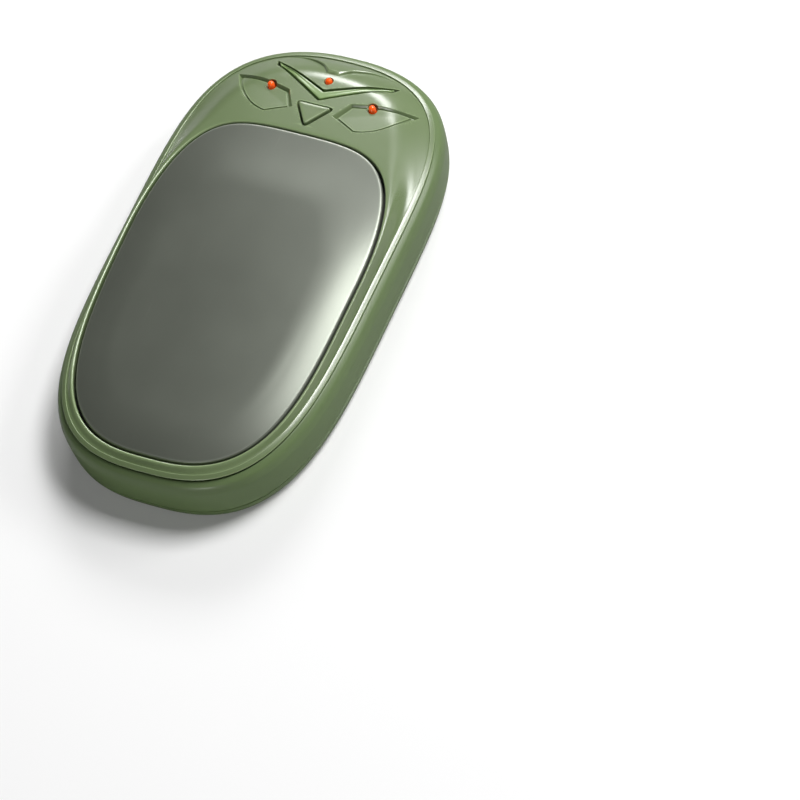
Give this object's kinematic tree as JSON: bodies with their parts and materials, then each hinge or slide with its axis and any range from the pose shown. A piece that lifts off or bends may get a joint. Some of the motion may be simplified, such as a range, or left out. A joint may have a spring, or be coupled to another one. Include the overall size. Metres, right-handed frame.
{
  "type": "rechargeable hand warmer",
  "caption": "Pocket hand warmer: oval case with a crowned metal heating plate, an owl face in relief, signal lenses and a triangular push button.",
  "frame": {"origin": "on the surface it lies on, under the middle of its outline", "axes": "+X across the width, +Y towards the owl face and the charging socket, +Z out of the heating plate"},
  "size_m": [0.0576, 0.1039, 0.0183],
  "materials": {
    "shell_green": "satin olive green, semi-gloss",
    "wall_green": "satin olive green, a shade deeper",
    "inlay_green": "satin light green",
    "plate_metal": "fine-grained dark grey-green coating, satin",
    "black_rubber": "matt black adhesive foam",
    "film_amber": "amber film",
    "lead_white": "white insulation",
    "lead_red": "red insulation",
    "foam": "off-white closed-cell foam",
    "cell_foil": "satin pouch foil",
    "tape_white": "white double-sided tape",
    "board_green": "green solder mask",
    "frame_plastic": "dark grey moulding",
    "screw_steel": "plain steel",
    "chip_black": "black moulding",
    "ceramic": "tan ceramic",
    "led_white": "pale lens",
    "lens_orange": "clear orange",
    "socket_steel": "drawn steel",
    "contact_gold": "gold flash"
  },
  "bodies": {
    "housing": {"front_cover": "shell_green", "side_housing": "wall_green", "back_cover": "wall_green", "brow_inlay": "inlay_green", "heating_plate": "plate_metal", "plate_gasket": "black_rubber", "heater_film": "film_amber", "heater_leads": "lead_white", "temperature_sensor": "chip_black", "sensor_leads": "lead_red", "insulation_pad": "foam", "battery_cell": "cell_foil", "cell_tape": "tape_white", "protection_board": "board_green", "terminal_tape": "film_amber", "battery_leads": "lead_red", "inner_frame": "frame_plastic", "frame_screws": "screw_steel", "circuit_board": "board_green", "charge_chip": "chip_black", "control_chip": "chip_black", "power_inductor": "chip_black", "capacitors": "ceramic", "resistors": "chip_black", "indicator_leds": "led_white", "left_eye_lens": "lens_orange", "right_eye_lens": "lens_orange", "forehead_lens": "lens_orange", "switch_body": "chip_black", "switch_cover": "screw_steel", "usb_shell": "socket_steel", "usb_tongue": "chip_black", "usb_contacts": "contact_gold"},
    "button": {"power_button": "shell_green"},
    "plunger": {"switch_plunger": "chip_black"}
  },
  "joints": [
    {"name": "button_press", "type": "slide", "parent": "housing", "child": "button", "axis": [0, 0, -1], "range_m": [0, 0.00035], "stiffness_N_per_m": 1500, "springref_m": -0.0003},
    {"name": "plunger_press", "type": "slide", "parent": "housing", "child": "plunger", "axis": [0, 0, -1], "range_m": [0, 0.00035]}
  ],
  "couplings": [
    {"joint": "plunger_press", "follows": "button_press", "ratio": 1}
  ]
}
